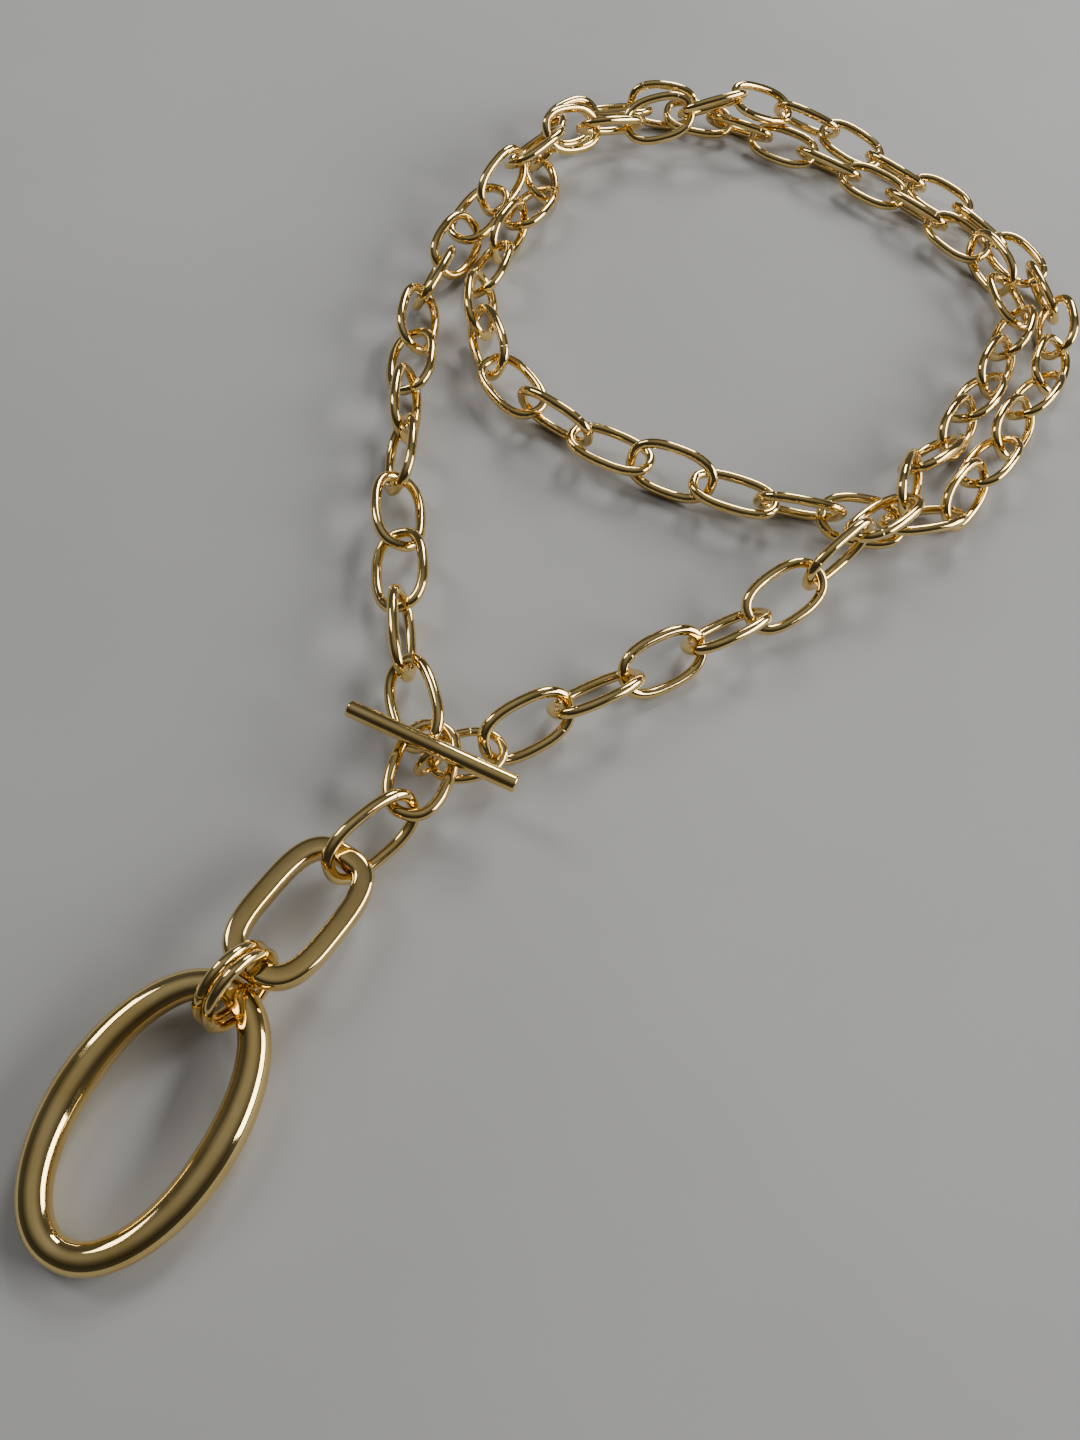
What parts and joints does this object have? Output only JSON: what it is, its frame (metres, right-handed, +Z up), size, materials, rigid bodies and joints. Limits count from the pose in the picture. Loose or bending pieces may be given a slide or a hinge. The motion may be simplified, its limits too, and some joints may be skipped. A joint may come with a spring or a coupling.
{
  "type": "chain necklace",
  "caption": "Long oval-link chain necklace laid out in two loops, closed by a toggle bar in an oval link, with a drop of a large link, two jump rings and an oval ring pendant.",
  "frame": {"origin": "on the table, under the middle of the laid-out necklace", "axes": "+Z up from the table; +Y along the long way, from the pendant to the far strands; +X across"},
  "size_m": [0.1494, 0.281, 0.015],
  "materials": {
    "polished_gold": "highly polished yellow gold plate"
  },
  "bodies": {
    "clasp_link": {"clasp_link": "polished_gold"},
    "end_ring": {"end_ring": "polished_gold"},
    "chain_link_01": {"chain_link_01": "polished_gold"},
    "chain_link_02": {"chain_link_02": "polished_gold"},
    "chain_link_03": {"chain_link_03": "polished_gold"},
    "chain_link_04": {"chain_link_04": "polished_gold"},
    "chain_link_05": {"chain_link_05": "polished_gold"},
    "chain_link_06": {"chain_link_06": "polished_gold"},
    "chain_link_07": {"chain_link_07": "polished_gold"},
    "chain_links_08_09": {"chain_links_08_09": "polished_gold"},
    "chain_link_10": {"chain_link_10": "polished_gold"},
    "chain_links_11_12": {"chain_links_11_12": "polished_gold"},
    "chain_link_13": {"chain_link_13": "polished_gold"},
    "chain_links_14_15": {"chain_links_14_15": "polished_gold"},
    "chain_link_16": {"chain_link_16": "polished_gold"},
    "chain_links_17_18": {"chain_links_17_18": "polished_gold"},
    "chain_link_19": {"chain_link_19": "polished_gold"},
    "chain_links_20_21": {"chain_links_20_21": "polished_gold"},
    "chain_link_22": {"chain_link_22": "polished_gold"},
    "chain_links_23_24": {"chain_links_23_24": "polished_gold"},
    "chain_link_25": {"chain_link_25": "polished_gold"},
    "chain_links_26_27": {"chain_links_26_27": "polished_gold"},
    "chain_link_28": {"chain_link_28": "polished_gold"},
    "chain_links_29_30": {"chain_links_29_30": "polished_gold"},
    "chain_link_31": {"chain_link_31": "polished_gold"},
    "chain_links_32_33": {"chain_links_32_33": "polished_gold"},
    "chain_link_34": {"chain_link_34": "polished_gold"},
    "chain_links_35_36": {"chain_links_35_36": "polished_gold"},
    "chain_link_37": {"chain_link_37": "polished_gold"},
    "chain_links_38_39": {"chain_links_38_39": "polished_gold"},
    "chain_link_40": {"chain_link_40": "polished_gold"},
    "chain_links_41_42": {"chain_links_41_42": "polished_gold"},
    "chain_link_43": {"chain_link_43": "polished_gold"},
    "chain_links_44_45": {"chain_links_44_45": "polished_gold"},
    "chain_link_46": {"chain_link_46": "polished_gold"},
    "chain_links_47_48": {"chain_links_47_48": "polished_gold"},
    "chain_link_49": {"chain_link_49": "polished_gold"},
    "chain_links_50_51": {"chain_links_50_51": "polished_gold"},
    "chain_link_52": {"chain_link_52": "polished_gold"},
    "chain_links_53_54": {"chain_links_53_54": "polished_gold"},
    "chain_link_55": {"chain_link_55": "polished_gold"},
    "chain_links_56_57": {"chain_links_56_57": "polished_gold"},
    "chain_link_58": {"chain_link_58": "polished_gold"},
    "chain_links_59_60": {"chain_links_59_60": "polished_gold"},
    "chain_link_61": {"chain_link_61": "polished_gold"},
    "chain_links_62_63": {"chain_links_62_63": "polished_gold"},
    "chain_link_64": {"chain_link_64": "polished_gold"},
    "chain_links_65_66": {"chain_links_65_66": "polished_gold"},
    "chain_link_67": {"chain_link_67": "polished_gold"},
    "chain_link_68": {"chain_link_68": "polished_gold"},
    "chain_link_69": {"chain_link_69": "polished_gold"},
    "chain_link_70": {"chain_link_70": "polished_gold"},
    "chain_link_71": {"chain_link_71": "polished_gold"},
    "toggle_bar": {"toggle_bar": "polished_gold"},
    "drop_link": {"drop_link": "polished_gold"},
    "large_oval_link": {"large_oval_link": "polished_gold"},
    "jump_ring_left": {"jump_ring_left": "polished_gold"},
    "jump_ring_right": {"jump_ring_right": "polished_gold"},
    "oval_pendant": {"oval_pendant": "polished_gold"}
  },
  "joints": [
    {"name": "roll_01", "type": "hinge", "parent": "clasp_link", "child": "chain_link_01", "pos_m": [-0.04317, -0.05322, 0.00503], "axis": [-0.4728, 0.8801, -0.0436], "range_deg": [-10, 0]},
    {"name": "roll_02", "type": "hinge", "parent": "clasp_link", "child": "chain_link_02", "pos_m": [-0.04832, -0.04062, 0.00526], "axis": [-0.2786, 0.9604, 0], "range_deg": [0, 10]},
    {"name": "roll_03", "type": "hinge", "parent": "clasp_link", "child": "chain_link_03", "pos_m": [-0.05216, -0.02738, 0.00457], "axis": [-0.2782, 0.9603, -0.0229], "range_deg": [-25, 0]},
    {"name": "roll_04", "type": "hinge", "parent": "clasp_link", "child": "chain_link_04", "pos_m": [-0.05576, -0.01433, 0.00427], "axis": [-0.2528, 0.9673, -0.0214], "range_deg": [0, 25]},
    {"name": "roll_05", "type": "hinge", "parent": "clasp_link", "child": "chain_link_05", "pos_m": [-0.05871, -0.00146, 0.00501], "axis": [-0.1945, 0.9809, -0.0028], "range_deg": [-12.5, 0]},
    {"name": "roll_06", "type": "hinge", "parent": "clasp_link", "child": "chain_link_06", "pos_m": [-0.06106, 0.01154, 0.00508], "axis": [-0.161, 0.9869, 0.0028], "range_deg": [0, 12.5]},
    {"name": "roll_07", "type": "hinge", "parent": "clasp_link", "child": "chain_link_07", "pos_m": [-0.06321, 0.02422, 0.0041], "axis": [-0.1735, 0.9848, -0.0049], "range_deg": [-25, 0]},
    {"name": "roll_08_09", "type": "hinge", "parent": "clasp_link", "child": "chain_links_08_09", "pos_m": [-0.0639, 0.04283, 0.00468], "axis": [0.0117, 0.9994, 0.0333], "range_deg": [0, 15]},
    {"name": "roll_10", "type": "hinge", "parent": "clasp_link", "child": "chain_link_10", "pos_m": [-0.0627, 0.06151, 0.00475], "axis": [0.2076, 0.9763, 0.061], "range_deg": [0, 25]},
    {"name": "roll_11_12", "type": "hinge", "parent": "clasp_link", "child": "chain_links_11_12", "pos_m": [-0.05855, 0.07674, 0.00751], "axis": [0.2854, 0.9298, 0.2323], "range_deg": [0, 15]},
    {"name": "roll_13", "type": "hinge", "parent": "clasp_link", "child": "chain_link_13", "pos_m": [-0.05222, 0.09353, 0.01058], "axis": [0.4404, 0.8946, 0.0757], "range_deg": [0, 20]},
    {"name": "roll_14_15", "type": "hinge", "parent": "clasp_link", "child": "chain_links_14_15", "pos_m": [-0.04068, 0.10802, 0.00919], "axis": [0.6907, 0.7035, -0.1672], "range_deg": [-15, 0]},
    {"name": "roll_16", "type": "hinge", "parent": "clasp_link", "child": "chain_link_16", "pos_m": [-0.02652, 0.11993, 0.00843], "axis": [0.8689, 0.4565, 0.1915], "range_deg": [0, 25]},
    {"name": "roll_17_18", "type": "hinge", "parent": "clasp_link", "child": "chain_links_17_18", "pos_m": [-0.00855, 0.1299, 0.00874], "axis": [0.8729, 0.483, -0.0695], "range_deg": [0, 4]},
    {"name": "roll_19", "type": "hinge", "parent": "clasp_link", "child": "chain_link_19", "pos_m": [0.00958, 0.13658, 0.00683], "axis": [0.9787, -0.0079, -0.2052], "range_deg": [-25, 0]},
    {"name": "roll_20_21", "type": "hinge", "parent": "clasp_link", "child": "chain_links_20_21", "pos_m": [0.02749, 0.13034, 0.00486], "axis": [0.886, -0.46, -0.0578], "range_deg": [-15, 0]},
    {"name": "roll_22", "type": "hinge", "parent": "clasp_link", "child": "chain_link_22", "pos_m": [0.04462, 0.12048, 0.00406], "axis": [0.8091, -0.5875, 0.0105], "range_deg": [0, 25]},
    {"name": "roll_23_24", "type": "hinge", "parent": "clasp_link", "child": "chain_links_23_24", "pos_m": [0.05797, 0.10667, 0.00413], "axis": [0.6438, -0.7652, 0], "range_deg": [-9, 0]},
    {"name": "roll_25", "type": "hinge", "parent": "clasp_link", "child": "chain_link_25", "pos_m": [0.06832, 0.09101, 0.00472], "axis": [0.306, -0.952, 0], "range_deg": [-20, 0]},
    {"name": "roll_26_27", "type": "hinge", "parent": "clasp_link", "child": "chain_links_26_27", "pos_m": [0.06876, 0.0729, 0.00446], "axis": [-0.0924, -0.9944, -0.0505], "range_deg": [0, 15]},
    {"name": "roll_28", "type": "hinge", "parent": "clasp_link", "child": "chain_link_28", "pos_m": [0.06491, 0.05543, 0.00422], "axis": [-0.4235, -0.9059, 0], "range_deg": [0, 25]},
    {"name": "roll_29_30", "type": "hinge", "parent": "clasp_link", "child": "chain_links_29_30", "pos_m": [0.05704, 0.03826, 0.00412], "axis": [-0.4112, -0.9115, 0], "range_deg": [-15, 0]},
    {"name": "roll_31", "type": "hinge", "parent": "clasp_link", "child": "chain_link_31", "pos_m": [0.04898, 0.02103, 0.00449], "axis": [-0.4534, -0.8907, -0.0324], "range_deg": [-25, 0]},
    {"name": "roll_32_33", "type": "hinge", "parent": "clasp_link", "child": "chain_links_32_33", "pos_m": [0.03438, 0.0118, 0.00377], "axis": [-0.9452, -0.3265, -0.0025], "range_deg": [0, 6]},
    {"name": "roll_34", "type": "hinge", "parent": "clasp_link", "child": "chain_link_34", "pos_m": [0.01633, 0.00753, 0.00501], "axis": [-0.9955, -0.0809, 0.0486], "range_deg": [0, 25]},
    {"name": "roll_35_36", "type": "hinge", "parent": "clasp_link", "child": "chain_links_35_36", "pos_m": [-0.00247, 0.00882, 0.0048], "axis": [-0.9911, 0.1316, 0.0205], "range_deg": [-15, 0]},
    {"name": "roll_37", "type": "hinge", "parent": "clasp_link", "child": "chain_link_37", "pos_m": [-0.02102, 0.01204, 0.00458], "axis": [-0.9639, 0.2654, -0.0224], "range_deg": [0, 17.5]},
    {"name": "roll_38_39", "type": "hinge", "parent": "clasp_link", "child": "chain_links_38_39", "pos_m": [-0.03702, 0.02086, 0.00478], "axis": [-0.8244, 0.5634, -0.0544], "range_deg": [0, 15]},
    {"name": "roll_40", "type": "hinge", "parent": "clasp_link", "child": "chain_link_40", "pos_m": [-0.04971, 0.03322, 0.00517], "axis": [-0.4807, 0.8769, 0.003], "range_deg": [-17.5, 0]},
    {"name": "roll_41_42", "type": "hinge", "parent": "clasp_link", "child": "chain_links_41_42", "pos_m": [-0.05312, 0.05089, 0.00431], "axis": [-0.0602, 0.9981, -0.0132], "range_deg": [0, 15]},
    {"name": "roll_43", "type": "hinge", "parent": "clasp_link", "child": "chain_link_43", "pos_m": [-0.05274, 0.06928, 0.00533], "axis": [0.2149, 0.9764, -0.0213], "range_deg": [0, 15]},
    {"name": "roll_44_45", "type": "hinge", "parent": "clasp_link", "child": "chain_links_44_45", "pos_m": [-0.05114, 0.08785, 0.00356], "axis": [-0.0034, 0.9989, -0.0465], "range_deg": [0, 10]},
    {"name": "roll_46", "type": "hinge", "parent": "clasp_link", "child": "chain_link_46", "pos_m": [-0.05112, 0.10638, 0.00458], "axis": [0.0486, 0.9955, 0.0809], "range_deg": [-15, 0]},
    {"name": "roll_47_48", "type": "hinge", "parent": "clasp_link", "child": "chain_links_47_48", "pos_m": [-0.04112, 0.12142, 0.0041], "axis": [0.7205, 0.6932, -0.0171], "range_deg": [0, 15]},
    {"name": "roll_49", "type": "hinge", "parent": "clasp_link", "child": "chain_link_49", "pos_m": [-0.02637, 0.13155, 0.00537], "axis": [0.976, 0.2137, -0.0422], "range_deg": [0, 22.5]},
    {"name": "roll_50_51", "type": "hinge", "parent": "clasp_link", "child": "chain_links_50_51", "pos_m": [-0.01181, 0.13135, 0.00391], "axis": [0.9973, -0.0734, 0.0016], "range_deg": [-5, 0]},
    {"name": "roll_52", "type": "hinge", "parent": "clasp_link", "child": "chain_link_52", "pos_m": [0.00508, 0.12903, 0.00353], "axis": [0.9531, -0.301, 0.0334], "range_deg": [-5, 1.5]},
    {"name": "roll_53_54", "type": "hinge", "parent": "clasp_link", "child": "chain_links_53_54", "pos_m": [0.02225, 0.12182, 0.00392], "axis": [0.9072, -0.4204, 0.016], "range_deg": [-15, 0]},
    {"name": "roll_55", "type": "hinge", "parent": "clasp_link", "child": "chain_link_55", "pos_m": [0.03881, 0.11333, 0.0042], "axis": [0.8427, -0.5384, 0.0109], "range_deg": [-25, 0]},
    {"name": "roll_56_57", "type": "hinge", "parent": "clasp_link", "child": "chain_links_56_57", "pos_m": [0.05136, 0.10034, 0.00486], "axis": [0.6259, -0.7788, 0.0415], "range_deg": [-7.5, 0]},
    {"name": "roll_58", "type": "hinge", "parent": "clasp_link", "child": "chain_link_58", "pos_m": [0.06049, 0.08569, 0.00418], "axis": [0.2389, -0.971, -0.0096], "range_deg": [-25, 0]},
    {"name": "roll_59_60", "type": "hinge", "parent": "clasp_link", "child": "chain_links_59_60", "pos_m": [0.05792, 0.06816, 0.0045], "axis": [-0.3008, -0.9536, -0.0152], "range_deg": [-15, 0]},
    {"name": "roll_61", "type": "hinge", "parent": "clasp_link", "child": "chain_link_61", "pos_m": [0.05223, 0.05059, 0.00428], "axis": [-0.3558, -0.9342, 0.0254], "range_deg": [0, 25]},
    {"name": "roll_62_63", "type": "hinge", "parent": "clasp_link", "child": "chain_links_62_63", "pos_m": [0.04406, 0.03421, 0.00583], "axis": [-0.4731, -0.875, 0.1032], "range_deg": [-15, 0]},
    {"name": "roll_64", "type": "hinge", "parent": "clasp_link", "child": "chain_link_64", "pos_m": [0.03628, 0.01628, 0.00833], "axis": [-0.2438, -0.9524, 0.1829], "range_deg": [0, 20]},
    {"name": "roll_65_66", "type": "hinge", "parent": "clasp_link", "child": "chain_links_65_66", "pos_m": [0.02715, 0.0001, 0.00781], "axis": [-0.5999, -0.7922, -0.1117], "range_deg": [-15, 0]},
    {"name": "roll_67", "type": "hinge", "parent": "clasp_link", "child": "chain_link_67", "pos_m": [0.01488, -0.01507, 0.00548], "axis": [-0.6665, -0.7258, -0.1703], "range_deg": [-17.5, 0]},
    {"name": "roll_68", "type": "hinge", "parent": "clasp_link", "child": "chain_link_68", "pos_m": [0.00553, -0.02462, 0.00423], "axis": [-0.7218, -0.692, -0.0149], "range_deg": [0, 25]},
    {"name": "roll_69", "type": "hinge", "parent": "clasp_link", "child": "chain_link_69", "pos_m": [-0.00457, -0.03406, 0.00422], "axis": [-0.7391, -0.6736, 0.0001], "range_deg": [-25, 0]},
    {"name": "roll_70", "type": "hinge", "parent": "clasp_link", "child": "chain_link_70", "pos_m": [-0.01472, -0.04331, 0.00422], "axis": [-0.7391, -0.6736, -0.0001], "range_deg": [0, 25]},
    {"name": "roll_71", "type": "hinge", "parent": "clasp_link", "child": "chain_link_71", "pos_m": [-0.02459, -0.05252, 0.00458], "axis": [-0.7232, -0.6905, -0.0145], "range_deg": [-25, 0]},
    {"name": "end_ring_roll", "type": "hinge", "parent": "clasp_link", "child": "end_ring", "pos_m": [-0.03292, -0.05952, 0.00338], "axis": [0.896, 0.437, 0.0785], "range_deg": [-5, 5]},
    {"name": "toggle_turn", "type": "hinge", "parent": "end_ring", "child": "toggle_bar", "pos_m": [-0.03812, -0.06207, 0.00393], "axis": [0, 0, 1], "range_deg": [-9, 9]},
    {"name": "drop_link_swing", "type": "hinge", "parent": "clasp_link", "child": "drop_link", "pos_m": [-0.03951, -0.07156, 0.00513], "axis": [0, 0, 1], "range_deg": [-12, 12]},
    {"name": "large_link_swing", "type": "hinge", "parent": "drop_link", "child": "large_oval_link", "pos_m": [-0.04727, -0.08339, 0.00513], "axis": [0, 0, 1], "range_deg": [-12, 12]},
    {"name": "jump_ring_left_lean", "type": "hinge", "parent": "large_oval_link", "child": "jump_ring_left", "pos_m": [-0.05477, -0.10357, 0.00673], "axis": [-0.4384, -0.8988, 0], "range_deg": [-6, 6]},
    {"name": "jump_ring_right_lean", "type": "hinge", "parent": "large_oval_link", "child": "jump_ring_right", "pos_m": [-0.05477, -0.10357, 0.00673], "axis": [-0.4384, -0.8988, 0], "range_deg": [-6, 6]},
    {"name": "pendant_lift", "type": "hinge", "parent": "jump_ring_left", "child": "oval_pendant", "pos_m": [-0.0563, -0.10423, 0.00439], "axis": [-0.9636, 0.2672, 0], "range_deg": [0, 30]}
  ],
  "couplings": [
    {"joint": "jump_ring_right_lean", "follows": "jump_ring_left_lean", "ratio": 1}
  ]
}
